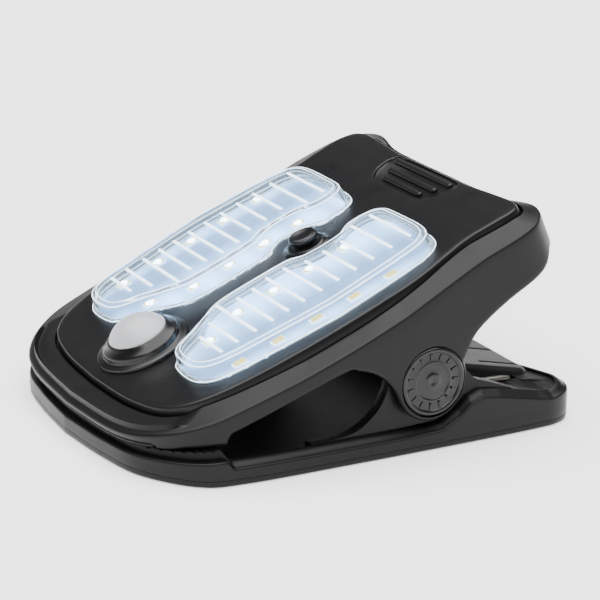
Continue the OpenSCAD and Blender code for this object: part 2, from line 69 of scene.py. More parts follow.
# Half outlines (along, half width) from the front middle to the rear middle, as the frame has them.
UPPER = [(-73.4, 0), (-71.8, 24), (-67.2, 37), (-58, 46), (-45, 49.6), (-15, 52), (20, 50.4),
         (37, 49.8), (44.2, 46), (47.2, 38.5), (44.8, 27), (44.3, 14), (44.3, 0)]
PANEL = [(-64.3, 0), (-63.2, 20), (-59, 34), (-48, 41), (-25, 44.6), (4, 44.8), (22, 42.4),
         (38, 42.6), (42.6, 38.6), (42.4, 28), (41.4, 16), (41.3, 0)]
LOWER = [(-76, 0), (-74.5, 19), (-71.2, 34.5), (-61.8, 47.6), (-50, 50.9), (-20, 51.5), (10, 51.5),
         (30, 51), (37.5, 50.1), (42.2, 47), (43.9, 41.5), (42.6, 35), (40.2, 26), (39, 17), (39, 0)]

# The far cover's outline (along, across): front, outer side, rear, a notch round the button, nose.
COVER_FRONT = [(-49, 19), (-49.7, 25), (-49, 31.5), (-45, 36), (-36, 38.2)]
COVER_SIDE = [(-23, 39.7)]
COVER_REAR = [(-12, 40.8), (10, 39.4), (18, 37.4), (21.4, 32), (21.8, 20), (21.2, 10), (18.4, 6.2),
              (12, 5.3)]
COVER_NOSE = [(-12, 5.3), (-28, 5.3), (-34.5, 8), (-39.5, 13), (-46, 15.8)]
NOTCH_R = 9.8

# Side profiles (along, height).
WALL_TOP = [(-80, 21.7), (-60, 20.9), (-30, 19.8), (0, 19.7), (25, 21.2), (36, 21), (50, 20.4)]
PANEL_TOP = [(-70, 23), (8, 23), (14, 23.15), (20, 23.5), (24, 23.9), (28, 24.15), (36, 24.15),
             (42, 23.6), (50, 22.8)]
LIP_LOW = [(-76, 19.92), (-53.2, 13.6)]
LIP_HIGH = [(-76, 20.7), (-53.2, 15.6)]
ARCH_FRONT = [(-51.3, 15.6), (-22, 15.3), (-16.6, 13.4), (-12.4, 9.2), (-10.4, 4.4), (-10, 0)]
ARCH_REAR = [(10, 0), (12.4, 1.9), (17, 4.7), (27.3, 7.0), (39, 8.4), (44, 11)]
RIM_TOP = [(-52.6, 4.5), (-6, 4.5), (3, 4.9), (8.2, 7.7), (11.4, 10.4), (14.6, 11.6), (20, 10.8),
           (31.6, 8.2), (36.1, 7.5), (48, 8.9)]
JAW_TOP = [(-80, 4.7), (-57.2, 6.5)]

# Upper arm
HALF_WIDTH = 52
SKIRT_FRONT = -66.8
SKIRT_HEM = 11
CHEEK_R = 10
WALL = 2.2
DECK_H = 20.4
PANEL_H = 23
COVER_H = 4.7
BUTTON_U = 1.2
BUTTON_HOLE_R = 5.7
PIR_U = -49.1
PIR_HOLE_R = 8.2
PIR_RING_H = 4.5
CAP_SEAT_R = 9.1
CAP_SEAT_Y = 50.4

# LEDs, in two rows along each board
LED_PITCH = 11
LED_U = [-38 + LED_PITCH * i for i in range(5)]
LED_INNER = 13
LED_OUTER = (33.8, 36)
BOARD_TOP = 22.9

# Lower arm
BASE_T = 1.7
TRAY_Z = 4.4


# ------------------------------------------------------------------ points and curves
def upper(p):
    """Points of the tilted upper arm, in mm, to points of the frame, in metres."""
    p = np.asarray(p, float)
    c, s = math.cos(TILT), math.sin(TILT)
    x = p[..., 0] * c - p[..., 2] * s
    z = PIVOT_Z + p[..., 0] * s + p[..., 2] * c
    return np.stack([x, p[..., 1], z], -1) * MM


def lower(p):
    """Points of the level lower arm, in mm, to metres."""
    return np.asarray(p, float) * MM


def hinge_frame(p, side):
    """Turns a lathe about the height axis into one about the hinge axis, pointing to one side."""
    p = np.asarray(p, float)
    return np.stack([p[:, 0], side * p[:, 2], PIVOT_Z + p[:, 1] * side], -1) * MM


def smooth(points, steps=16):
    """A smooth curve through points."""
    p = np.array(points, float)
    ends = np.vstack([p[:1], p, p[-1:]])
    out = []
    for i in range(len(p) - 1):
        a, b, c, d = ends[i:i + 4]
        for t in np.arange(steps) / steps:
            out.append(0.5 * (2 * b + (c - a) * t + (2 * a - 5 * b + 4 * c - d) * t * t
                              + (3 * b - a - 3 * c + d) * t ** 3))
    return np.array(out + [p[-1]])


def lengths(curve):
    """The distance along a curve at each of its points."""
    return np.concatenate([[0], np.cumsum(np.linalg.norm(np.diff(curve, axis=0), axis=1))])


def sample(curve, s):
    """Points of a curve at distances s along it."""
    along = lengths(curve)
    return np.stack([np.interp(s, along, curve[:, i]) for i in range(curve.shape[1])], -1)


def place(curve, point):
    """The distance along a curve of its nearest point."""
    gap = np.linalg.norm(curve - np.array(point), axis=1)
    return lengths(curve)[gap.argmin()]


def spread(marks, counts):
    """Distances between marks, with counts[i] steps in stretch i."""
    out = [np.linspace(a, b, n + 1)[:-1] for a, b, n in zip(marks, marks[1:], counts)]
    return np.concatenate(out + [[marks[-1]]])


def height(profile, u):
    """The height of a side profile at u along the arm."""
    xs, hs = zip(*profile)
    return np.interp(u, xs, hs)


def inward(curve, s):
    """Unit normals towards the inside of a half outline that runs from front middle to rear middle."""
    step = 0.15
    end = lengths(curve)[-1]
    t = sample(curve, np.minimum(s + step, end)) - sample(curve, np.maximum(s - step, 0))
    n = np.stack([t[:, 1], -t[:, 0]], -1)
    n /= np.linalg.norm(n, axis=1)[:, None]
    if s[0] < step:
        n[0] = (1, 0)
    if s[-1] > end - step:
        n[-1] = (-1, 0)
    return n


def marked_line(curve, marks, counts):
    """Points of a half outline, spread between marks on it, and their inward normals."""
    s = spread([0] + [place(curve, m) for m in marks] + [lengths(curve)[-1]], counts)
    return sample(curve, s), inward(curve, s)


def ring(points, h):
    """A closed ring from a half outline and its heights."""
    half = np.column_stack([points, np.broadcast_to(h, len(points))])
    half[0, 1] = half[-1, 1] = 0
    other = half[-2:0:-1] * (1, -1, 1)
    return np.vstack([half, other])


def ease(x):
    """A soft step from 0 to 1 as x goes from 0 to 1."""
    x = np.clip(x, 0, 1)
    return x * x * (3 - 2 * x)


# ------------------------------------------------------------------ meshes
def add(name, verts, faces, body=None, replaces=(), slot=None, mat=None, sharp=35):
    """A new piece from vertices in metres, shaded, and labelled where labels are given."""
    mesh = bpy.data.meshes.new(name)
    mesh.from_pydata([tuple(v) for v in verts], [], faces)
    bm = bmesh.new()
    bm.from_mesh(mesh)
    bmesh.ops.recalc_face_normals(bm, faces=bm.faces)
    bm.to_mesh(mesh)
    bm.free()
    piece = bpy.data.objects.new(name, mesh)
    bpy.context.scene.collection.objects.link(piece)
    finish(piece, sharp)
    label(piece, body, replaces, mat)
    return piece


def label(piece, body=None, replaces=(), mat=None):
    """Gives a piece its material, body and replaced nodes."""
    if mat:
        piece.data.materials.append(mat)
    if body:
        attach(piece, body)
    if replaces:
        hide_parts(*replaces)


def finish(piece, sharp=35):
    """Smooth shading, with edges sharper than an angle kept."""
    mesh = piece.data
    mesh.polygons.foreach_set("use_smooth", [True] * len(mesh.polygons))
    mesh.set_sharp_from_angle(angle=math.radians(sharp))
    mesh.update()


def skin(rings, loop=False, open_rings=False):
    """Vertices and faces of the closed surface through rings of equal length.

    With loop, the last ring joins the first. With open_rings, each ring is a line with two ends.
    """
    k = len(rings[0])
    verts = np.vstack(rings)
    faces = []
    pairs = [(i, i + 1) for i in range(len(rings) - 1)]
    if loop:
        pairs.append((len(rings) - 1, 0))
    for a, b in pairs:
        for j in range(k - 1 if open_rings else k):
            n = (j + 1) % k
            faces.append((a * k + j, a * k + n, b * k + n, b * k + j))
    if not loop:
        faces.append(tuple(range(k)))
        faces.append(tuple((len(rings) - 1) * k + j for j in reversed(range(k))))
    if loop and open_rings:
        faces.append(tuple(a * k for a in range(len(rings))))
        faces.append(tuple(a * k + k - 1 for a in reversed(range(len(rings)))))
    return verts, faces


def join(*shapes):
    """Several (verts, faces) as one."""
    verts, faces, base = [], [], 0
    for v, f in shapes:
        verts.append(np.asarray(v, float))
        faces += [tuple(i + base for i in face) for face in f]
        base += len(v)
    return np.vstack(verts), faces


def lathe(profile, steps=96):
    """A turned shape about the height axis through the origin, from (radius, height) points."""
    a = np.arange(steps) * 2 * math.pi / steps
    rings = [np.column_stack([r * np.cos(a), r * np.sin(a), np.full(steps, h)]) for r, h in profile]
    return skin(rings)


def slab(outline, low, high):
    """A straight prism on a closed outline of (a, b) points."""
    p = np.array(outline, float)
    return skin([np.column_stack([p, np.full(len(p), h)]) for h in (low, high)])


def block(low, high):
    """A box between two corners."""
    (a, b, c), (d, e, f) = low, high
    return slab([(a, b), (d, b), (d, e), (a, e)], c, f)


def moved(shape, offset):
    """The shape, shifted."""
    return shape[0] + np.array(offset, float), shape[1]


def mirrored(shape):
    """The shape's mirror image across the middle plane."""
    return shape[0] * (1, -1, 1), [tuple(reversed(f)) for f in shape[1]]


def on_side(shape, side):
    """A shape made for the far side, on either side."""
    return shape if side == "far" else mirrored(shape)


def applied(piece):
    """Replaces a piece's mesh with what its modifiers make of it."""
    bpy.context.view_layer.update()
    graph = bpy.context.evaluated_depsgraph_get()
    mesh = bpy.data.meshes.new_from_object(piece.evaluated_get(graph))
    piece.modifiers.clear()
    old = piece.data
    piece.data = mesh
    bpy.data.meshes.remove(old)


def cut(piece, shapes, operation="DIFFERENCE"):
    """Cuts closed shapes, given in metres, out of a piece, or keeps what lies inside them."""
    for shape in shapes:
        tool = add("tool", *shape)
        change = piece.modifiers.new("cut", "BOOLEAN")
        change.object = tool
        change.operation = operation
        change.solver = "EXACT"
        applied(piece)
        bpy.data.objects.remove(tool)


def rounded(piece, width, segments=3, angle=30):
    """Rounds the edges of a piece that are sharper than an angle."""
    change = piece.modifiers.new("round", "BEVEL")
    change.width = width * MM
    change.segments = segments
    change.limit_method = "ANGLE"
    change.angle_limit = math.radians(angle)
    change.harden_normals = False
    applied(piece)
    finish(piece)


# ------------------------------------------------------------------ materials
GRAIN_DEPTH = 0.00003
GRAIN_DETAIL = 4
ROUGHNESS_SPREAD = 0.06


def material(name, color, roughness, **inputs):
    """A plain material; the other shader inputs are named with underscores for spaces."""
    mat = bpy.data.materials.new(name)
    mat.use_nodes = True
    shader = mat.node_tree.nodes["Principled BSDF"]
    shader.inputs["Base Color"].default_value = (*color, 1)
    shader.inputs["Roughness"].default_value = roughness
    for key, value in inputs.items():
        shader.inputs[key.replace("_", " ")].default_value = value
    return mat


def grain(mat, scale, strength):
    """Moulded or ground texture: noise in the bump and, a little, in the roughness."""
    tree = mat.node_tree
    shader = tree.nodes["Principled BSDF"]
    place_node = tree.nodes.new("ShaderNodeTexCoord")
    noise = tree.nodes.new("ShaderNodeTexNoise")
    noise.inputs["Scale"].default_value = scale
    noise.inputs["Detail"].default_value = GRAIN_DETAIL
    bump = tree.nodes.new("ShaderNodeBump")
    bump.inputs["Strength"].default_value = strength
    bump.inputs["Distance"].default_value = GRAIN_DEPTH
    wide = tree.nodes.new("ShaderNodeTexNoise")
    wide.inputs["Scale"].default_value = scale / 22
    rough = tree.nodes.new("ShaderNodeMapRange")
    base = shader.inputs["Roughness"].default_value
    rough.inputs["To Min"].default_value = base - ROUGHNESS_SPREAD
    rough.inputs["To Max"].default_value = base + ROUGHNESS_SPREAD
    link = tree.links.new
    link(place_node.outputs["Object"], noise.inputs["Vector"])
    link(place_node.outputs["Object"], wide.inputs["Vector"])
    link(noise.outputs["Fac"], bump.inputs["Height"])
    link(bump.outputs["Normal"], shader.inputs["Normal"])
    link(wide.outputs["Fac"], rough.inputs["Value"])
    link(rough.outputs["Result"], shader.inputs["Roughness"])
    return mat


SHELL = grain(material("shell_black", (0.004, 0.004, 0.0045), 0.36, Specular_IOR_Level=0.17), 2600, 0.3)
PANEL_MAT = grain(material("panel_black", (0.004, 0.004, 0.0045), 0.3, Specular_IOR_Level=0.24),
                  2600, 0.2)
TRIM = grain(material("trim_black", (0.005, 0.005, 0.0055), 0.22, Specular_IOR_Level=0.32), 1800, 0.1)
RUBBER = grain(material("pad_rubber", (0.004, 0.004, 0.004), 0.5, Specular_IOR_Level=0.14), 1500, 0.5)
STEEL = grain(material("steel", (0.55, 0.55, 0.57), 0.3, Metallic=1.0), 1200, 0.15)
WIRE = grain(material("spring_steel", (0.12, 0.115, 0.105), 0.34, Metallic=1.0), 1200, 0.1)
CELL = grain(material("cell_wrap", (0.4, 0.42, 0.46), 0.3, Metallic=0.6), 900, 0.05)
GREEN = grain(material("board_green", (0.03, 0.16, 0.07), 0.4), 900, 0.1)
DOME = grain(material("dome_white", (0.4, 0.41, 0.43), 0.32, Subsurface_Weight=0.25,
                      Subsurface_Scale=0.002), 500, 0.05)
COVER = material("clear_cover", (0.8, 0.92, 1.0), 0.04, Transmission_Weight=0.94, IOR=1.25)
# Painted light: the clear ribs and the edge beads glow as if lit by the LEDs inside, though they are no
# lamp.
PAINTED_GLOW = material("cover_painted_glow", (0.8, 0.9, 1.0), 0.1, Alpha=0.75, Emission_Color=(0.8, 0.91, 1.0, 1),
               Emission_Strength=2.6)
# Painted light: the board glows as if lit by its LEDs; its strength comes from glow() below.
BOARD_GLOW = material("board_white", (0.3, 0.45, 0.7), 0.4, Emission_Color=(0.36, 0.64, 1.0, 1))
LED = material("led_phosphor", (0.9, 0.7, 0.15), 0.3, Emission_Color=(1.0, 0.55, 0.05, 1),
               Emission_Strength=1.5)
# The LEDs' bright cores: their own light, made larger and hotter as painted glints.
LED_CORE_GLINT = material("led_core_glint", (1, 1, 1), 0.3, Emission_Color=(0.97, 0.99, 1.0, 1),
                    Emission_Strength=60.0)
# Painted glow: the white LED packages shine as a halo round each LED, though the packages are no lamp.
LED_BODY_GLOW = material("led_body_glow", (0.85, 0.87, 0.88), 0.35, Emission_Color=(0.75, 0.88, 1.0, 1),
                    Emission_Strength=3.0)


def grey_stops(ramp, stops):
    """Gives a colour ramp its grey levels, as (position, level)."""
    while len(ramp.color_ramp.elements) < len(stops):
        ramp.color_ramp.elements.new(0.5)
    for element, (position, level) in zip(ramp.color_ramp.elements, stops):
        element.position = position
        element.color = (level, level, level, 1)


# The boards' painted light: how far across it reaches, its level across the board (painted shade between
# the rows) and its ripple along them.
GLOW_REACH = 42
GLOW_ACROSS = [(0.0, 0.5), (0.2, 0.9), (0.34, 1.0), (0.48, 0.4), (0.6, 0.06), (0.76, 0.08), (0.86, 0.7),
               (0.98, 0.4)]
GLOW_RIPPLE = 0.25


def glow(mat, strength):
    """Painted light on a board: it lies along the two LED rows, fades between them and peaks at each LED.
    """
    tree = mat.node_tree
    node = tree.nodes.new
    link = tree.links.new
    place_node = node("ShaderNodeTexCoord")
    turn = node("ShaderNodeMapping")
    turn.inputs["Rotation"].default_value = (0, TILT, 0)
    turn.inputs["Scale"].default_value = (1 / MM, 1 / MM, 1 / MM)
    split = node("ShaderNodeSeparateXYZ")
    side = node("ShaderNodeMath")
    side.operation = "ABSOLUTE"
    span = node("ShaderNodeMapRange")
    span.inputs["From Max"].default_value = GLOW_REACH
    ramp = node("ShaderNodeValToRGB")
    grey_stops(ramp, GLOW_ACROSS)
    wave = node("ShaderNodeMath")
    wave.operation = "MULTIPLY_ADD"
    wave.inputs[1].default_value = 2 * math.pi / LED_PITCH
    wave.inputs[2].default_value = -LED_U[0] * 2 * math.pi / LED_PITCH
    swing = node("ShaderNodeMath")
    swing.operation = "COSINE"
    level = node("ShaderNodeMath")
    level.operation = "MULTIPLY_ADD"
    level.inputs[1].default_value = GLOW_RIPPLE * strength
    level.inputs[2].default_value = (1 - GLOW_RIPPLE) * strength
    power = node("ShaderNodeMath")
    power.operation = "MULTIPLY"
    link(place_node.outputs["Object"], turn.inputs["Vector"])
    link(turn.outputs["Vector"], split.inputs["Vector"])
    link(split.outputs["Y"], side.inputs[0])
    link(side.outputs["Value"], span.inputs["Value"])
    link(span.outputs["Result"], ramp.inputs["Fac"])
    link(split.outputs["X"], wave.inputs[0])
    link(wave.outputs["Value"], swing.inputs[0])
    link(swing.outputs["Value"], level.inputs[0])
    link(level.outputs["Value"], power.inputs[0])
    link(ramp.outputs["Color"], power.inputs[1])
    link(power.outputs["Value"], tree.nodes["Principled BSDF"].inputs["Emission Strength"])


glow(BOARD_GLOW, 6.0)


# ------------------------------------------------------------------ upper arm: housing
upper_curve = smooth(UPPER)
upper_curve[:, 1] = np.minimum(upper_curve[:, 1], HALF_WIDTH)
panel_curve = smooth(PANEL)
# steps in each stretch between the marks round half the housing
WALL_STEPS = [36, 30, 34, 34, 26, 26, 30, 30, 24, 40]


def boundary():
    """The lower edge of the side wall, as (distance along the outline, height)."""
    along = lengths(upper_curve)
    tip = upper_curve[:, 0].argmax()

    def at(u):
        return np.interp(u, upper_curve[:tip + 1, 0], along[:tip + 1])

    half_step = 0.25
    front_u = np.concatenate([np.linspace(UPPER[0][0], SKIRT_FRONT - half_step, 30),
                              np.linspace(SKIRT_FRONT + half_step, LIP_LOW[1][0], 30)])
    front = [(s, height(LIP_HIGH if u < SKIRT_FRONT else LIP_LOW, u)) for s, u in
             zip(np.interp(front_u, upper_curve[:tip, 0], along[:tip]), front_u)]
    arch_a = [(at(u), h) for u, h in smooth(ARCH_FRONT, 10)]
    disc = [(at(CHEEK_R * math.sin(a)), -CHEEK_R * math.cos(a))
            for a in np.radians(np.linspace(-86, 86, 40))]
    arch_b = [(at(u), h) for u, h in smooth(ARCH_REAR, 10)]
    end = [(s, SKIRT_HEM) for s in np.linspace(arch_b[-1][0], along[-1], 40)[1:]]
    return np.array(front + arch_a + disc + arch_b + end)


# The band from the panel to the outer edge: along the sides a slope, along the front a ledge
# behind a ridge. The ridge's place is a share of the band's width.
BAND_STEP = 0.95
LEDGE_DROP = 0.9
REAR_RISE = 0.8
REAR_DROP = 0.5
RIDGE_RISE = 1.35
RIDGE_AT = 0.76
RIDGE_HALF = 0.05


def housing():
    """The upper arm's side wall and the band round its panel, as one loop of rings from the deck
    over the band, down the outside, round the lower edge and up the inside."""
    edge = boundary()
    along = lengths(upper_curve)

    def out_s(u, v):
        return place(upper_curve, (u, v))

    def edge_mark(u, h):
        return place(edge, (out_s(u, 51.5), h))

    corner = out_s(-65.5, 39.5)
    horn = out_s(44.4, 46)
    tip = out_s(47.3, 38)
    top_s = spread([0, corner, out_s(-53.2, 47.8), out_s(-24, 51.6), out_s(-8, 52), out_s(0, 51.8),
                    out_s(8, 51.4), out_s(28, 50.3), horn, tip, along[-1]], WALL_STEPS)
    low_marks = [0, place(edge, (corner, height(LIP_LOW, -65.5))), edge_mark(-53.2, 13.6),
                 edge_mark(-22, 15.3), edge_mark(-10, 0), edge_mark(0, -CHEEK_R), edge_mark(10, 0),
                 edge_mark(27.3, 7.0), place(edge, (horn, SKIRT_HEM)), place(edge, (tip, SKIRT_HEM)),
                 lengths(edge)[-1]]
    low_d = spread(low_marks, WALL_STEPS)
    low = sample(edge, low_d)
    low[0, 0], low[-1, 0] = 0, along[-1]
    step = 0.4
    t = sample(edge, np.minimum(low_d + step, low_marks[-1])) - sample(edge, np.maximum(low_d - step, 0))
    into = np.stack([-t[:, 1], t[:, 0]], -1)
    into /= np.linalg.norm(into, axis=1)[:, None]
    into[0] = into[-1] = (0, 1)

    inner, inner_n = marked_line(
        panel_curve, [(-56.8, 36.4), (-46, 41.8), (-20, 44.8), (-6, 45), (2, 44.9), (10, 44.3),
                      (28, 42.3), (41.6, 40.4), (43, 36.6)], WALL_STEPS)
    outer = sample(upper_curve, top_s)
    outer_n = inward(upper_curve, top_s)
    top_h = height(WALL_TOP, outer[:, 0])
    front = ease((-60.5 - outer[:, 0]) / 5)
    rear = ease((outer[:, 0] - 40) / 4)

    rings = []

    def from_panel(d, h):
        rings.append(ring(inner - inner_n * d, h))

    from_panel(-1.5, DECK_H - 1)
    from_panel(-1.5, DECK_H - 0.2)
    from_panel(0.8, DECK_H - 0.2)
    from_panel(1.0, DECK_H - 0.1)
    start = inner - inner_n * 1.2
    rise = REAR_RISE * ease((outer[:, 0] + 15) / 30)
    band_in = top_h + BAND_STEP - LEDGE_DROP * front + rise - REAR_DROP * rear
    from_panel(1.05, band_in - 0.25)
    end = outer + outer_n * 0.75
    for w in (0, 0.12, 0.3, 0.5, 0.62, 0.68, 0.72, 0.76, 0.8, 0.84, 0.9, 1):
        flat = band_in + (top_h - band_in) * w
        ridge = RIDGE_RISE * math.exp(-((w - RIDGE_AT) / RIDGE_HALF) ** 2) + 0.1 * ease((w - 0.5) * 2)
        rings.append(ring(start + (end - start) * w, flat + front * ridge))
    for d, drop in ((0.45, 0.06), (0.2, 0.2), (0.06, 0.42), (0, 0.75)):
        rings.append(ring(outer + outer_n * d, top_h - drop))

    # the lower edge's rounding, small along the lip and large from the side step back
    edge_round = (0.35 + 0.85 * ease((low_d - low_marks[1]) / 6))[:, None]
    body_top = np.column_stack([top_s, top_h - 0.75])
    body_low = low + into * edge_round

    def wall_ring(sh, d):
        s = np.clip(sh[:, 0], 0, along[-1])
        rings.append(ring(sample(upper_curve, s) + inward(upper_curve, s) * d, sh[:, 1]))

    for w in (0.15, 0.35, 0.55, 0.75, 0.9, 1):
        wall_ring(body_top + (body_low - body_top) * w, 0)
    for turned_by in (20, 40, 60, 75, 90):
        a = math.radians(turned_by)
        wall_ring(low + into * edge_round * (1 - math.sin(a)), edge_round * (1 - math.cos(a)))
    for lift, d in ((0, 1.6), (0.12, 2), (0.5, WALL)):
        wall_ring(low + into * lift, d)
    inside_top = np.column_stack([top_s, np.full(len(top_s), DECK_H - 1.6)])
    inside_low = low + into * 0.8
    for w in (0.3, 0.65, 1):
        wall_ring(inside_low + (inside_top - inside_low) * w, WALL)
    verts, faces = skin([upper(r) for r in rings], loop=True)
    piece = add("housing_shell", verts, faces)
    seat = lathe([(CAP_SEAT_R, CAP_SEAT_Y), (CAP_SEAT_R, HALF_WIDTH + 4)])
    cut(piece, [(hinge_frame(seat[0], side), seat[1]) for side in (1, -1)])
    finish(piece, 40)
    label(piece, "upper_arm", ["upper_housing"], SHELL)


# ------------------------------------------------------------------ upper arm: panel
def cover_normals(p):
    """Unit normals towards the inside of the far cover's outline."""
    t = np.roll(p, -2, axis=0) - np.roll(p, 2, axis=0)
    n = np.stack([t[:, 1], -t[:, 0]], -1)
    return n / np.linalg.norm(n, axis=1)[:, None]


def even(p):
    """A closed line through p with its points evenly spaced and its corners a little softer."""
    closed = np.vstack([p, p[:1]])
    p = sample(closed, np.linspace(0, lengths(closed)[-1], 401)[:-1])
    return (np.roll(p, 1, axis=0) + 2 * p + np.roll(p, -1, axis=0)) / 4


def cover_steps():
    """The far cover's outline, and that outline moved inwards step by step."""
    a = np.radians(np.linspace(36, 144, 40))
    notch = np.stack([BUTTON_U + NOTCH_R * np.cos(a), NOTCH_R * np.sin(a)], -1)
    p = np.vstack([smooth(COVER_FRONT, 8)[:-1], COVER_SIDE, smooth(COVER_REAR, 8)[:-1], notch,
                   smooth(COVER_NOSE, 8)])
    for _ in range(3):
        p = even(p)
    out = [p]
    for _ in range(60):
        out.append(even(out[-1] + cover_normals(out[-1]) * INSET_STEP))
    return out


INSET_STEP = 0.1
cover_lines = cover_steps()


def cover_outline(inset):
    """The closed outline of the far cover, moved inwards, or outwards by a negative inset."""
    if inset <= 0:
        return cover_lines[0] + cover_normals(cover_lines[0]) * inset
    i = int(inset / INSET_STEP)
    w = inset / INSET_STEP - i
    return cover_lines[i] * (1 - w) + cover_lines[i + 1] * w


PANEL_MIDDLE = (-10, 0)
POCKET_FLOOR = PANEL_H - 0.04
POCKET_PLAY = 0.12
WINDOW_IN = 1.6
BOARD_IN = 1.75


def panel():
    """The raised panel, with the covers' pockets and windows, the finger grip and two round holes."""
    edge, n = marked_line(panel_curve, [(-59, 34), (-48, 41), (36, 42.8), (43, 36)],
                          [60, 24, 110, 24, 60])

    def top(p):
        return height(PANEL_TOP, p[:, 0])

    rings = []
    for d, h in ((-0.6, DECK_H), (-0.55, DECK_H + 0.5)):
        rings.append(ring(edge + n * d, h))
    for d, drop in ((-0.15, 0.75), (0, 0.45), (0.1, 0.22), (0.28, 0.07), (0.55, 0.0)):
        p = edge + n * d
        rings.append(ring(p, top(p) - drop))
    rim = edge + n * 0.55
    for w in np.linspace(0.03, 0.97, 40):
        p = rim * (1 - w) + np.array(PANEL_MIDDLE) * w
        rings.append(ring(p, top(p)))
    piece = add("panel_shell", *skin([upper(r) for r in rings]))
    pocket = slab(cover_outline(-POCKET_PLAY), POCKET_FLOOR, 30)
    window = slab(cover_outline(WINDOW_IN), 18, 30)
    cuts = [on_side(hole, side) for side in ("far", "near") for hole in (pocket, window)]
    cuts.append(grip_hollow())
    for r, u in ((BUTTON_HOLE_R, BUTTON_U), (PIR_HOLE_R, PIR_U)):
        cuts.append(moved(lathe([(r, 15), (r, 30)], 64), (u, 0, 0)))
    cut(piece, [(upper(v), f) for v, f in cuts])
    finish(piece, 30)
    label(piece, "upper_arm", ["top_panel"], PANEL_MAT)
    for i, (u, half) in enumerate(GRIPS):
        grip_bar(f"grip_bar_{i + 1}", u, half)


# The finger grip: bars (along, half length), the recess's half outline and its floor.
GRIPS = [(38.6, 13.4), (35, 11.2), (31.8, 8.8)]
GRIP_LINE = [(29.4, 0), (29.6, 9.6), (30.5, 12.6), (32.7, 14.8), (35.1, 15.7), (37.9, 16.2), (40.2, 14.8),
             (40.8, 11), (40.9, 0)]
GRIP_FLOOR = 23.4
GRIP_BAR_R = 0.85


def grip_hollow():
    """The recess of the finger grip, with a soft upper edge."""
    curve = smooth(GRIP_LINE, 10)
    s = np.linspace(0, lengths(curve)[-1], 120)
    p = sample(curve, s)
    n = inward(curve, s)
    surface = height(PANEL_TOP, p[:, 0])
    rings = [ring(p + n * 0.6, GRIP_FLOOR)]
    for d, deep in ((0.25, 0.62), (0.08, 0.35), (0, 0.2), (-0.12, 0.07), (-0.35, 0), (-0.5, -2)):
        rings.append(ring(p + n * d, surface - deep))
    return skin(rings)


def stadium(u, low_v, high_v, r, h, steps):
    """A level ring that runs across the arm, with round ends."""
    a = np.radians(np.linspace(0, 180, steps))
    end_a = np.stack([u + r * np.cos(a), high_v + r * np.sin(a)], -1)
    end_b = np.stack([u - r * np.cos(a), low_v - r * np.sin(a)], -1)
    p = np.vstack([end_a, end_b])
    return np.column_stack([p, np.full(len(p), h)])


def grip_bar(name, u, half):
    """One raised bar of the finger grip, with round ends and a domed top."""
    foot = GRIP_FLOOR - 0.2
    rings = [stadium(u, -half, half, GRIP_BAR_R - d, foot + h, 13)
             for d, h in ((0, 0), (0, 0.65), (0.1, 0.85), (0.28, 0.98), (0.55, 1.04))]
    add(name, *skin([upper(r) for r in rings]), body="upper_arm", mat=PANEL_MAT, slot="panel_black")


# ------------------------------------------------------------------ upper arm: covers and LEDs
# A cover's cross ribs: (place along, the inner end's place across), and the outer ends' place across.
RIBS = [(15.7, 12.6), (10.0, 12.2), (4.4, 16.4), (-0.9, 16.0), (-6.1, 15.6), (-11.2, 12.8),
        (-16.3, 12.4), (-21.1, 13.4), (-25.7, 13.7), (-30.7, 11.2), (-36.0, 17.0), (-40.7, 20.8)]
RIB_OUT = 32.5


def rib(u, v_in):
    """A raised cross rib with round ends on a cover's top."""
    return skin([stadium(u, v_in, RIB_OUT, r, PANEL_H + COVER_H + h, 11)
                 for r, h in ((0.42, -0.03), (0.4, 0.1), (0.32, 0.2), (0.2, 0.26), (0.07, 0.28))])


def cover_ring(inset, h):
    """A ring of the cover: the side towards the middle leans outwards with height."""
    p = cover_outline(inset)
    lean = 2.2 * max(h, 0) / COVER_H * ease((14 - p[:, 1]) / 5)
    return np.column_stack([p[:, 0], p[:, 1] + lean, np.full(len(p), PANEL_H + h)])


def cover_shape():
    """A clear box with a stepped foot and steep sides; the inside follows at a distance."""
    rings = [cover_ring(d, h) for d, h in (
        (-0.05, 0.02), (-0.05, 0.42), (0.08, 0.58), (0.45, 0.64), (0.6, 0.8), (0.68, 1.6), (0.76, 2.6),
        (0.86, 3.3), (1.05, 3.85), (1.35, 4.28), (1.8, 4.58), (2.3, 4.69), (2.6, COVER_H))]
    inside = [cover_ring(d, h) for d, h in (
        (1.7, 0.02), (1.7, 0.5), (1.85, 0.8), (1.95, 2.4), (2.15, 3.0), (2.7, 3.4), (3.2, 3.5),
        (3.4, 3.5))]
    k = len(rings[0])
    verts = np.vstack(rings + inside)
    top = len(rings)
    faces = [(i * k + j, i * k + (j + 1) % k, (i + 1) * k + (j + 1) % k, (i + 1) * k + j)
             for i in range(top - 1) for j in range(k)]
    faces.append(tuple((top - 1) * k + j for j in range(k)))
    faces += [(i * k + j, (i + 1) * k + j, (i + 1) * k + (j + 1) % k, i * k + (j + 1) % k)
              for i in range(top, top + len(inside) - 1) for j in range(k)]
    faces.append(tuple((top + len(inside) - 1) * k + j for j in reversed(range(k))))
    faces += [(j, top * k + j, top * k + (j + 1) % k, (j + 1) % k) for j in range(k)]
    return verts, faces


def bead(inset, h, r):
    """A fine round bead that runs along a cover; it glows, a painted highlight line on the cover's edge.
    """
    line = cover_ring(inset, h)
    n = cover_normals(line[:, :2])
    rings = []
    for a in np.radians(np.arange(0, 360, 60)):
        rings.append(line + np.column_stack([n * r * math.cos(a), np.full(len(line), r * math.sin(a))]))
    return skin(rings, loop=True)


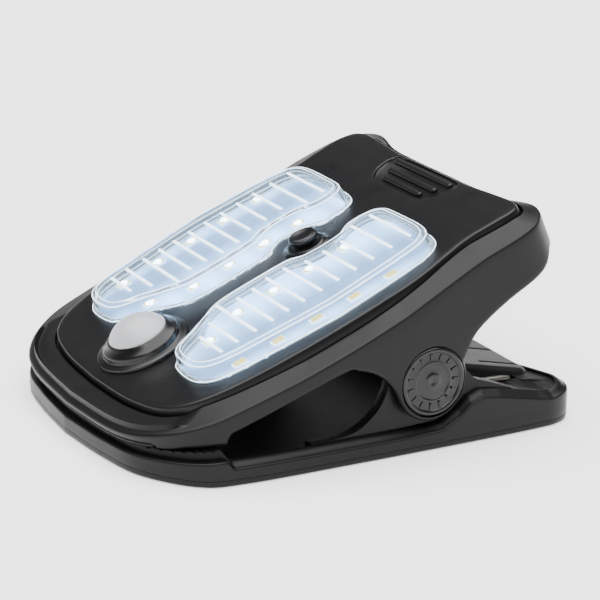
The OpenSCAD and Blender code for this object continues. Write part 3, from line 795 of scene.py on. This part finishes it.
def covers():
    """On each side: the clear cover, its ribs and its glowing beads (painted highlight lines), and the
    board with its painted glow and its LEDs.
    """
    shape = cover_shape()
    ribs = join(*[rib(u, v_in) for u, v_in in RIBS])
    # glowing beads at the foot and along the top edges: painted highlight lines
    painted_highlights = join(bead(0.02, 0.5, 0.13), bead(1.2, 4.1, 0.14), bead(2.35, 4.66, 0.12))
    board = slab(cover_outline(BOARD_IN), BOARD_TOP - 1.2, BOARD_TOP)
    for side in ("far", "near"):
        v, f = on_side(shape, side)
        add(f"cover_{side}", upper(v), f, body="upper_arm", replaces=[f"lens_cover_{side}"],
            slot="clear_cover", mat=COVER, sharp=50)
        v, f = on_side(ribs, side)
        add(f"cover_ribs_{side}", upper(v), f, body="upper_arm", slot="clear_cover", mat=PAINTED_GLOW, sharp=60)
        v, f = on_side(painted_highlights, side)
        add(f"cover_rims_{side}", upper(v), f, body="upper_arm", slot="clear_cover", mat=PAINTED_GLOW, sharp=80)
        # the board carries painted light from its LEDs
        v, f = on_side(board, side)
        add(f"board_{side}", upper(v), f, body="upper_arm", replaces=[f"led_board_{side}"],
            slot="board_white", mat=BOARD_GLOW)
        leds(side)


def leds(side):
    """One board's LEDs. Their bright cores are the LEDs' light made large as painted glints; the near
    board's outer row shows yellow faces, so it has no such glints.
    """
    sign = 1 if side == "far" else -1
    package = block((-1.75, -1.4, -0.05), (1.75, 1.4, 0.55))
    face = block((-1.5, -1.15, 0.55), (1.5, 1.15, 0.7))
    core = lathe([(1.3, 0.6), (1.2, 0.77), (0.6, 0.79)], 16)
    tracks = [block((-0.1, v - 0.35, -0.05), (0.1, v + 0.35, 0.04)) for v in (-2.1, 2.1)]
    bodies, lights, core_glints, marks = [], [], [], []
    for u in LED_U:
        outer = np.interp(u, [LED_U[0], LED_U[-1]], LED_OUTER)
        # the nose narrows, so the first LED of the inner row stands further out
        inner = LED_INNER + max(0, -30 - u) * 0.6
        for v in (inner, outer):
            at = (u, sign * v, BOARD_TOP)
            bodies.append(moved(package, at))
            lights.append(moved(face, at))
            # painted glints: none on the near board's outer row
            if v == inner or side == "far":
                core_glints.append(moved(core, at))
            marks += [moved(track, at) for track in tracks]
    for name, shapes, mat, replaced in (("bodies", bodies, LED_BODY_GLOW, [f"leds_{side}"]),
                                        ("phosphor", lights, LED, []), ("core_glints", core_glints, LED_CORE_GLINT, []),
                                        ("marks", marks, CELL, [])):
        v, f = join(*shapes)
        add(f"led_{name}_{side}", upper(v), f, body="upper_arm", replaces=replaced,
            slot="led_phosphor", mat=mat)


# ------------------------------------------------------------------ upper arm: sensor, button, lip
def turned(name, profile, u, body, mat, slot, replaces, steps=96):
    """A turned piece that stands at u on the upper arm. Its profile's heights start at the panel."""
    v, f = moved(lathe([(r, PANEL_H + h) for r, h in profile], steps), (u, 0, 0))
    add(name, upper(v), f, body=body, mat=mat, slot=slot, replaces=replaces, sharp=40)


def sensor():
    """The motion sensor's collar and its white dome, a hollow cap on a straight neck."""
    line = [(7.75, 0), (12.2, 0), (12.22, 0.5), (12.05, 0.85), (11.6, 1.02), (10.7, 1.08), (10.35, 1.25),
            (10.2, 1.6), (10.15, 2.3), (10.0, 2.62), (9.75, 2.85), (9.4, 3.05), (8.4, 4.05), (8.15, 4.35),
            (7.95, 4.48), (7.8, 4.45), (7.72, 4.3)]
    turned("sensor_ring", line, PIR_U, "upper_arm", TRIM, "trim_black", ["pir_ring"])
    neck, curve, thick, foot = 7.6, 9.2, 0.9, -1.8
    centre = PIR_RING_H - math.sqrt(curve ** 2 - neck ** 2)
    start = math.degrees(math.acos(neck / curve))

    def cap_line(r):
        turns = np.radians(np.linspace(start, 89.5, 30))
        return [(r * math.cos(a), centre + r * math.sin(a)) for a in turns]

    dome = [(neck, foot)] + cap_line(curve) + cap_line(curve - thick)[::-1] + [(neck - thick, foot)]
    turned("sensor_dome", dome, PIR_U, "upper_arm", DOME, "dome_white", ["pir_dome"])


def push_button():
    """The button's collar, and its head with a shallow dish."""
    collar = [(3.4, 0), (6.4, 0), (6.36, 0.2), (6.1, 0.36), (5.5, 0.55), (5.25, 0.75), (5.08, 1.05),
              (4.85, 1.24), (4.55, 1.3), (3.6, 1.3), (3.4, 1.1)]
    turned("button_ring", collar, BUTTON_U, "upper_arm", TRIM, "trim_black", ["button_collar"], 72)
    cap = [(0.01, -0.4), (2.95, -0.4), (2.95, 2.3), (3.4, 2.32), (3.75, 2.45), (3.9, 2.75), (3.88, 3.1),
           (3.78, 3.4), (3.55, 3.55), (3.25, 3.6), (2.95, 3.52), (2.0, 3.3), (1.0, 3.2), (0.01, 3.18)]
    turned("button_cap", cap, BUTTON_U, "button", TRIM, "trim_black", ["button"], 72)


def lip():
    """The rubber lip under the front; behind the front corners it lies inside the side walls."""
    end = place(upper_curve, (-53.3, 47.8))
    s = spread([0, place(upper_curve, (-67.2, 37)), place(upper_curve, (-66, 38.9)), end], [46, 16, 30])
    outer = sample(upper_curve, s)
    n = inward(upper_curve, s)
    tuck = (WALL + 0.1) * ease((outer[:, 0] - SKIRT_FRONT + 0.3) / 0.3)[:, None]
    high = height(LIP_HIGH, outer[:, 0]) - 0.12
    low_h = height(LIP_LOW, outer[:, 0])

    def strip(d, h):
        half = np.column_stack([outer + n * (tuck + d), np.broadcast_to(h, len(outer))])
        half[0, 1] = 0
        return np.vstack([half[:0:-1] * (1, -1, 1), half])

    r = np.minimum(0.45, (high - low_h) * 0.45)
    rings = [strip(8, high), strip(0.3, high), strip(0.06, high - 0.08), strip(0, high - r),
             strip(0, low_h + r), strip(0.12, low_h + r * 0.35), strip(0.4, low_h), strip(8, low_h)]
    v, f = skin([upper(x) for x in rings], loop=True, open_rings=True)
    add("lip", v, f, body="upper_arm", replaces=["jaw_pad_upper"], slot="pad_rubber", mat=RUBBER)


def caps():
    """The two pivot caps: a rounded rim, short ticks, an inner ring and a small centre dimple."""
    face = [(8.75, 50.45), (8.8, 51.0), (8.7, 51.35), (8.45, 51.6), (8.1, 51.7), (7.7, 51.62),
            (7.45, 51.4), (7.35, 51.25), (5.3, 51.2), (5.1, 51.3), (4.85, 51.35), (4.6, 51.25),
            (4.45, 51.05), (2.3, 51.0), (2.1, 51.1), (1.8, 51.25), (1.3, 51.3), (0.9, 51.2),
            (0.55, 51.05), (0.01, 51.0)]
    ticks = 15
    tick = block((5.7, -0.28, 51.0), (7.1, 0.28, 51.5))
    parts = [lathe(face)]
    for k in range(ticks):
        a = 2 * math.pi * k / ticks
        turn = np.array([[math.cos(a), -math.sin(a), 0], [math.sin(a), math.cos(a), 0], [0, 0, 1]])
        parts.append((tick[0] @ turn.T, tick[1]))
    v, f = join(*parts)
    for side, name in ((1, "far"), (-1, "near")):
        add(f"cap_{name}", hinge_frame(v, side), f, body="upper_arm", replaces=[f"pivot_cap_{name}"],
            slot="trim_black", mat=TRIM)


# ------------------------------------------------------------------ lower arm
lower_curve = smooth(LOWER)
EAR = [(-32, TRAY_Z - 1), (-32, 6), (-23.7, 6.4), (-18.6, 7.7), (-14.1, 11.2), (-11.6, 15.2),
       (-10.6, 18.5)]
EAR_REAR = [(10.6, 19), (12, 17.3), (14.6, 15.2), (19, 13.6), (27, 10.4), (34, TRAY_Z - 1)]
EAR_R = 10.6
EAR_Y = (45, 48.2)
PIN_BORE_R = 2.06

# The raised rear plate: its ends (along, height), its half width, and the grooves' places across.
PLATE_FRONT = (17.5, 14.9)
PLATE_REAR = (39.2, 9.9)
PLATE_HALF = 38
GROOVES = (7, 19.5, 32)
GROOVE_DEPTH = 0.6
GROOVE_HALF = 0.42


def shell():
    """The lower arm's tray, and what stands in it."""
    outer, n = marked_line(
        lower_curve, [(-68, 42), (-52, 50.4), (3, 51.5), (20, 51.4), (37.5, 50.1), (43.9, 41.5)],
        [46, 40, 60, 50, 44, 44, 60])
    u = outer[:, 0]
    # jaw is 1 under the pad and 0 behind it; rise is how far the rim's inner edge stands up
    jaw = ease((-53.4 - u) / 2.4)
    rim = height(RIM_TOP, u)
    top = rim * (1 - jaw) + height(JAW_TOP, u) * jaw
    rise = 1.5 * (1 - jaw)
    rings = [ring(outer + n * 3.4, BASE_T + 0.05), ring(outer + n * 0.15, BASE_T + 0.03),
             ring(outer + n * 0.04, BASE_T + 0.09), ring(outer, BASE_T + 0.2)]
    for w in (0.3, 0.6, 0.85):
        rings.append(ring(outer, BASE_T + 0.6 + (top - 0.6 - BASE_T - 0.6) * w))
    for d, drop in ((0, 0.6), (0.05, 0.3), (0.2, 0.1), (0.45, 0.0)):
        rings.append(ring(outer + n * d, top - drop))
    for d, share in ((0.9, 0.15), (1.5, 0.5), (2.1, 0.82), (2.6, 0.96), (3.0, 1.0)):
        rings.append(ring(outer + n * d, top + rise * share))
    rings.append(ring(outer + n * 3.3, top + rise - 0.15))
    rings.append(ring(outer + n * 3.4, top + rise - 0.5))
    floor = np.minimum(TRAY_Z, top - 0.3)
    rings.append(ring(outer + n * 3.5, floor + 0.3))
    rings.append(ring(outer + n * 3.8, floor))
    add("tray", *skin([lower(r) for r in rings]), body="lower_arm", replaces=["lower_shell"],
        slot="shell_black", mat=SHELL)
    jaw_block()
    for side, name in ((1, "far"), (-1, "near")):
        ear(side, name)
        v, f = block((24.5, side * 41 - 1.8, TRAY_Z - 1), (29, side * 41 + 1.8, 10.0))
        post = add(f"spring_post_{name}", lower(v), f, body="lower_arm", slot="shell_black", mat=SHELL)
        rounded(post, 0.5)
    plate()
    apron()


def jaw_plan(end, count, inset):
    """The lower arm's outline round the front, from one side to the other, moved inwards."""
    s = np.linspace(0, place(lower_curve, end), count)
    half = sample(lower_curve, s) + inward(lower_curve, s) * inset
    half[0, 1] = 0
    return np.vstack([half[:0:-1] * (1, -1), half])


def jaw_block():
    """The solid end of the lower jaw, under its pad."""
    line = jaw_plan((-53.6, 50.2), 61, 2.6)
    low = np.column_stack([line, np.full(len(line), 3.0)])
    high = np.column_stack([line, height(JAW_TOP, line[:, 0]) - 0.5])
    add("jaw_block", *skin([lower(low), lower(high)]), body="lower_arm", slot="shell_black", mat=SHELL)


def ear(side, name):
    """A hinge ear: a round eye on a web that sweeps down to the rim."""
    a = np.radians(np.linspace(175, 5, 40))
    eye = [(EAR_R * math.cos(t), PIVOT_Z + EAR_R * math.sin(t)) for t in a]
    line = list(smooth(EAR[1:], 6)) + eye + list(smooth(EAR_REAR[:-1], 6)) + [EAR_REAR[-1], EAR[0]]
    pts = np.array(line)
    rings = [np.column_stack([pts[:, 0], np.full(len(pts), side * y), pts[:, 1]]) for y in EAR_Y]
    piece = add(f"ear_{name}", *skin([lower(r) for r in rings]))
    bore = lathe([(PIN_BORE_R, 30), (PIN_BORE_R, 60)], 48)
    cut(piece, [(hinge_frame(bore[0], side), bore[1])])
    rounded(piece, 0.7, 3, 40)
    label(piece, "lower_arm", mat=SHELL)


def plate_height(x, y):
    """The raised rear plate's height at a point, with its shoulder and its grooves."""
    z = np.interp(x, [12, PLATE_FRONT[0], PLATE_REAR[0]], [10.5, PLATE_FRONT[1], PLATE_REAR[1]])
    reach, flat, fall = 5.0, 2.2, 5
    past = math.hypot(max(0, reach - (PLATE_REAR[0] - x)), max(0, reach - (PLATE_HALF - abs(y))))
    turn = (min(max(past, flat), reach) - flat) / (reach - flat)
    drop = (1 - math.sqrt(1 - turn ** 2)) * fall
    groove = max(math.exp(-((abs(y) - g) / GROOVE_HALF) ** 4) for g in GROOVES)
    inside = ease((x - 24.5) / 1.5) * ease((37.3 - x) / 1.0)
    return z - drop - GROOVE_DEPTH * groove * inside


def plate():
    """The raised rear plate: it slopes down to the rear, with round shoulders and grooves along it."""
    xs = np.linspace(PLATE_FRONT[0] - 5, PLATE_REAR[0], 90)
    ys = np.linspace(-PLATE_HALF, PLATE_HALF, 229)
    rows, cols = len(xs), len(ys)
    verts = [(x, y, plate_height(x, y)) for x in xs for y in ys]
    faces = [(i * cols + j, (i + 1) * cols + j, (i + 1) * cols + j + 1, i * cols + j + 1)
             for i in range(rows - 1) for j in range(cols - 1)]
    # the edge goes straight down into the tray
    loop = list(range(cols)) + [i * cols + cols - 1 for i in range(1, rows)]
    loop += [(rows - 1) * cols + j for j in range(cols - 2, -1, -1)]
    loop += [i * cols for i in range(rows - 2, 0, -1)]
    base = len(verts)
    verts += [(verts[i][0], verts[i][1], TRAY_Z - 0.6) for i in loop]
    for i in range(len(loop)):
        j = (i + 1) % len(loop)
        faces.append((loop[i], loop[j], base + j, base + i))
    faces.append(tuple(base + i for i in range(len(loop))))
    add("rear_plate", lower(verts), faces, body="lower_arm", slot="shell_black", mat=SHELL, sharp=50)


def apron():
    """The rear fill, from the rim inwards to one middle height round the raised plate."""
    middle = 10.0
    along = lengths(lower_curve)
    s = np.linspace(place(lower_curve, (19, 51.3)), along[-1], 150)
    outer = sample(lower_curve, s)
    n = inward(lower_curve, s)
    rim = height(RIM_TOP, outer[:, 0]) + 1.5
    half_rows = []
    for d, share in ((3.3, 0.0), (3.6, 0.1), (4.6, 0.2), (6.5, 0.45), (9, 0.8), (11.5, 1.0)):
        p = outer + n * d
        z = (rim - 0.7) * (1 - share) + middle * share
        half_rows.append(np.column_stack([p, z]))
    for row in (half_rows[-1], half_rows[0]):
        half_rows.append(row * (1, 1, 0) + (0, 0, TRAY_Z - 0.5))
    rings = []
    for r in half_rows:
        r[-1, 1] = 0
        rings.append(np.vstack([r, r[-2::-1] * (1, -1, 1)]))
    add("rear_fill", *skin([lower(r) for r in rings], loop=True, open_rings=True), body="lower_arm",
        slot="shell_black", mat=SHELL)


def base():
    """The flat bottom cover, with a rounded lower edge."""
    outer, n = marked_line(lower_curve, [(-68, 42), (37.5, 50.1), (43.9, 41.5)], [50, 120, 44, 60])
    profile = ((0.9, 0.0), (0.5, 0.08), (0.2, 0.3), (0.06, 0.7), (0.02, BASE_T - 0.1), (0.05, BASE_T))
    rings = [ring(outer + n * d, z) for d, z in profile]
    add("base_plate", *skin([lower(r) for r in rings]), body="lower_arm", replaces=["base_cover"],
        slot="shell_black", mat=SHELL)


def pad():
    """The toothed pad on the lower jaw. Its rear end leans forwards, up to the teeth."""
    v, f = slab(jaw_plan((-53.9, 50), 80, 2.0), 3, 12)
    piece = add("jaw_pad", lower(v), f)
    front, back = (-75, 6.45), (-56.4, 8.95)
    slope = (back[1] - front[1]) / (back[0] - front[0])
    gaps, pitch, half_gap, half_floor, depth = 10, 1.8, 0.42, 0.12, 0.34
    line = [(-80, 4.5), (-57.2, 6.3), (-54.2, 6.1), back]
    for i in reversed(range(gaps)):
        x = -74.2 + pitch * i
        z = front[1] + (x - front[0]) * slope
        line += [(x + half_gap, z + half_gap * slope), (x + half_floor, z - depth),
                 (x - half_floor, z - depth), (x - half_gap, z - half_gap * slope)]
    line.append((-80, front[1]))
    pts = np.array(line)
    profile = skin([np.column_stack([pts[:, 0], np.full(len(pts), y), pts[:, 1]]) for y in (-60, 60)])
    cut(piece, [(lower(profile[0]), profile[1])], "INTERSECT")
    rounded(piece, 0.12, 2, 40)
    label(piece, "lower_arm", ["jaw_pad_lower"], RUBBER)


# ------------------------------------------------------------------ springs
COIL_R = 5.4
WIRE_R = 0.9
WIRE_SIDES = 14
COIL_IN = 31
COIL_TURNS = 5
COIL_PITCH = 2
LEG_UP = 27
LEG_DOWN = 30
LEG_SPREAD = 4.8
LEG_DROOP = 3


def springs():
    """Two mirrored torsion springs on the pin: one leg along the upper arm, one along the lower."""
    start = math.degrees(TILT) + LEG_SPREAD
    stop = 180 + LEG_DROOP + 360 * (COIL_TURNS - 1)
    steps = 40 * COIL_TURNS
    path = []
    for i in range(steps + 1):
        a = math.radians(start + (stop - start) * i / steps)
        path.append((-COIL_R * math.sin(a), COIL_IN + COIL_PITCH * COIL_TURNS * i / steps,
                     PIVOT_Z + COIL_R * math.cos(a)))
    up = math.radians(start)
    down = math.radians(-LEG_DROOP)
    first, last = np.array(path[0]), np.array(path[-1])
    ahead = np.array([math.cos(up), 0, math.sin(up)])
    behind = np.array([math.cos(down), 0, math.sin(down)])
    leg_up = [first + (LEG_UP - k) * ahead for k in range(0, LEG_UP, 2)]
    leg_down = [last + k * behind for k in range(2, LEG_DOWN, 2)]
    line = np.array([*leg_up, *path, *leg_down])
    for side, name in ((1, "far"), (-1, "near")):
        p = line * (1, side, 1)
        t = np.gradient(p, axis=0)
        t /= np.linalg.norm(t, axis=1)[:, None]
        across = np.cross(t, [0, 1, 0])
        across /= np.linalg.norm(across, axis=1)[:, None]
        second = np.cross(across, t)
        a = np.arange(WIRE_SIDES) * 2 * math.pi / WIRE_SIDES
        rings = [q + WIRE_R * (np.outer(np.cos(a), x) + np.outer(np.sin(a), y))
                 for q, x, y in zip(p, across, second)]
        rings[0] = p[0] + (rings[0] - p[0]) * 0.7
        rings[-1] = p[-1] + (rings[-1] - p[-1]) * 0.7
        v, f = skin([lower(r) for r in rings])
        piece = add(f"spring_wire_{name}", v, f, slot="spring_steel", mat=WIRE)
        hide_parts(f"spring_{name}")
        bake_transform(piece)


# ------------------------------------------------------------------ pieces kept from the frame
def dress(nodes, mat):
    """Gives kept nodes a material."""
    for name in nodes:
        obj = frame["nodes"][name]
        for i in range(len(obj.material_slots)):
            obj.material_slots[i].material = mat
        if not obj.material_slots:
            obj.data.materials.append(mat)


# ------------------------------------------------------------------ camera, light and floor
def camera():
    """The photograph's view: the camera's right, up and back axes, and its place in mm."""
    data = bpy.data.cameras.new("camera")
    data.lens = 156
    data.sensor_width = 36
    data.clip_end = 20
    cam = bpy.data.objects.new("camera", data)
    bpy.context.scene.collection.objects.link(cam)
    right = Vector((0.88467, -0.46618, 0.00552))
    up = Vector((0.14047, 0.27783, 0.95031))
    back = -Vector((0.44455, 0.83993, -0.31127))
    turn = Matrix((right, up, back)).transposed().to_4x4()
    cam.matrix_world = Matrix.Translation(Vector((-307.775, -563.039, 234.009)) * MM) @ turn
    bpy.context.scene.camera = cam


def key_light():
    """A soft light above and behind the camera, aimed at the lamp's middle."""
    data = bpy.data.lights.new("key", "AREA")
    data.shape = "RECTANGLE"
    data.size = data.size_y = 0.35
    data.energy = 3
    lamp = bpy.data.objects.new("key", data)
    bpy.context.scene.collection.objects.link(lamp)
    stand, target = Vector((-0.5, -0.7, 0.8)), Vector((0, 0, 0.02))
    lamp.location = stand
    lamp.rotation_euler = (target - stand).to_track_quat("-Z", "Y").to_euler()


SKY = [(0.0, 0.2), (0.2, 0.17), (0.34, 0.02), (0.7, 0.02), (0.84, 1.0), (1.0, 1.0)]
SKY_STRENGTH = 7.0


def studio():
    """A white floor, and a sky: grey low down, a dark belt that the panel mirrors, white overhead."""
    world = bpy.data.worlds.new("studio")
    bpy.context.scene.world = world
    world.use_nodes = True
    tree = world.node_tree
    direction = tree.nodes.new("ShaderNodeTexCoord")
    split = tree.nodes.new("ShaderNodeSeparateXYZ")
    ramp = tree.nodes.new("ShaderNodeValToRGB")
    grey_stops(ramp, SKY)
    tree.links.new(direction.outputs["Generated"], split.inputs["Vector"])
    tree.links.new(split.outputs["Z"], ramp.inputs["Fac"])
    tree.links.new(ramp.outputs["Color"], tree.nodes["Background"].inputs["Color"])
    tree.nodes["Background"].inputs["Strength"].default_value = SKY_STRENGTH
    floor = add("floor", *block((-3, -3, -0.02), (3, 3, -0.00005)))
    white = material("floor_white", (0.92, 0.92, 0.92), 0.8, Emission_Color=(1, 1, 1, 1),
                     Emission_Strength=0.6)
    floor.data.materials.append(white)
    key_light()


camera()
studio()
housing()
panel()
covers()
sensor()
push_button()
lip()
caps()
shell()
base()
pad()
springs()
dress(["bottom_cover", "battery_door"], SHELL)
dress(["tact_switch", "switch_plunger"], TRIM)
dress(["base_screws", "pir_sensor", "contact_plates", "contact_springs", "door_screw", "housing_screws",
       "pivot_pin"], STEEL)
dress(["control_board"], GREEN)
dress(["battery_1", "battery_2", "battery_3"], CELL)
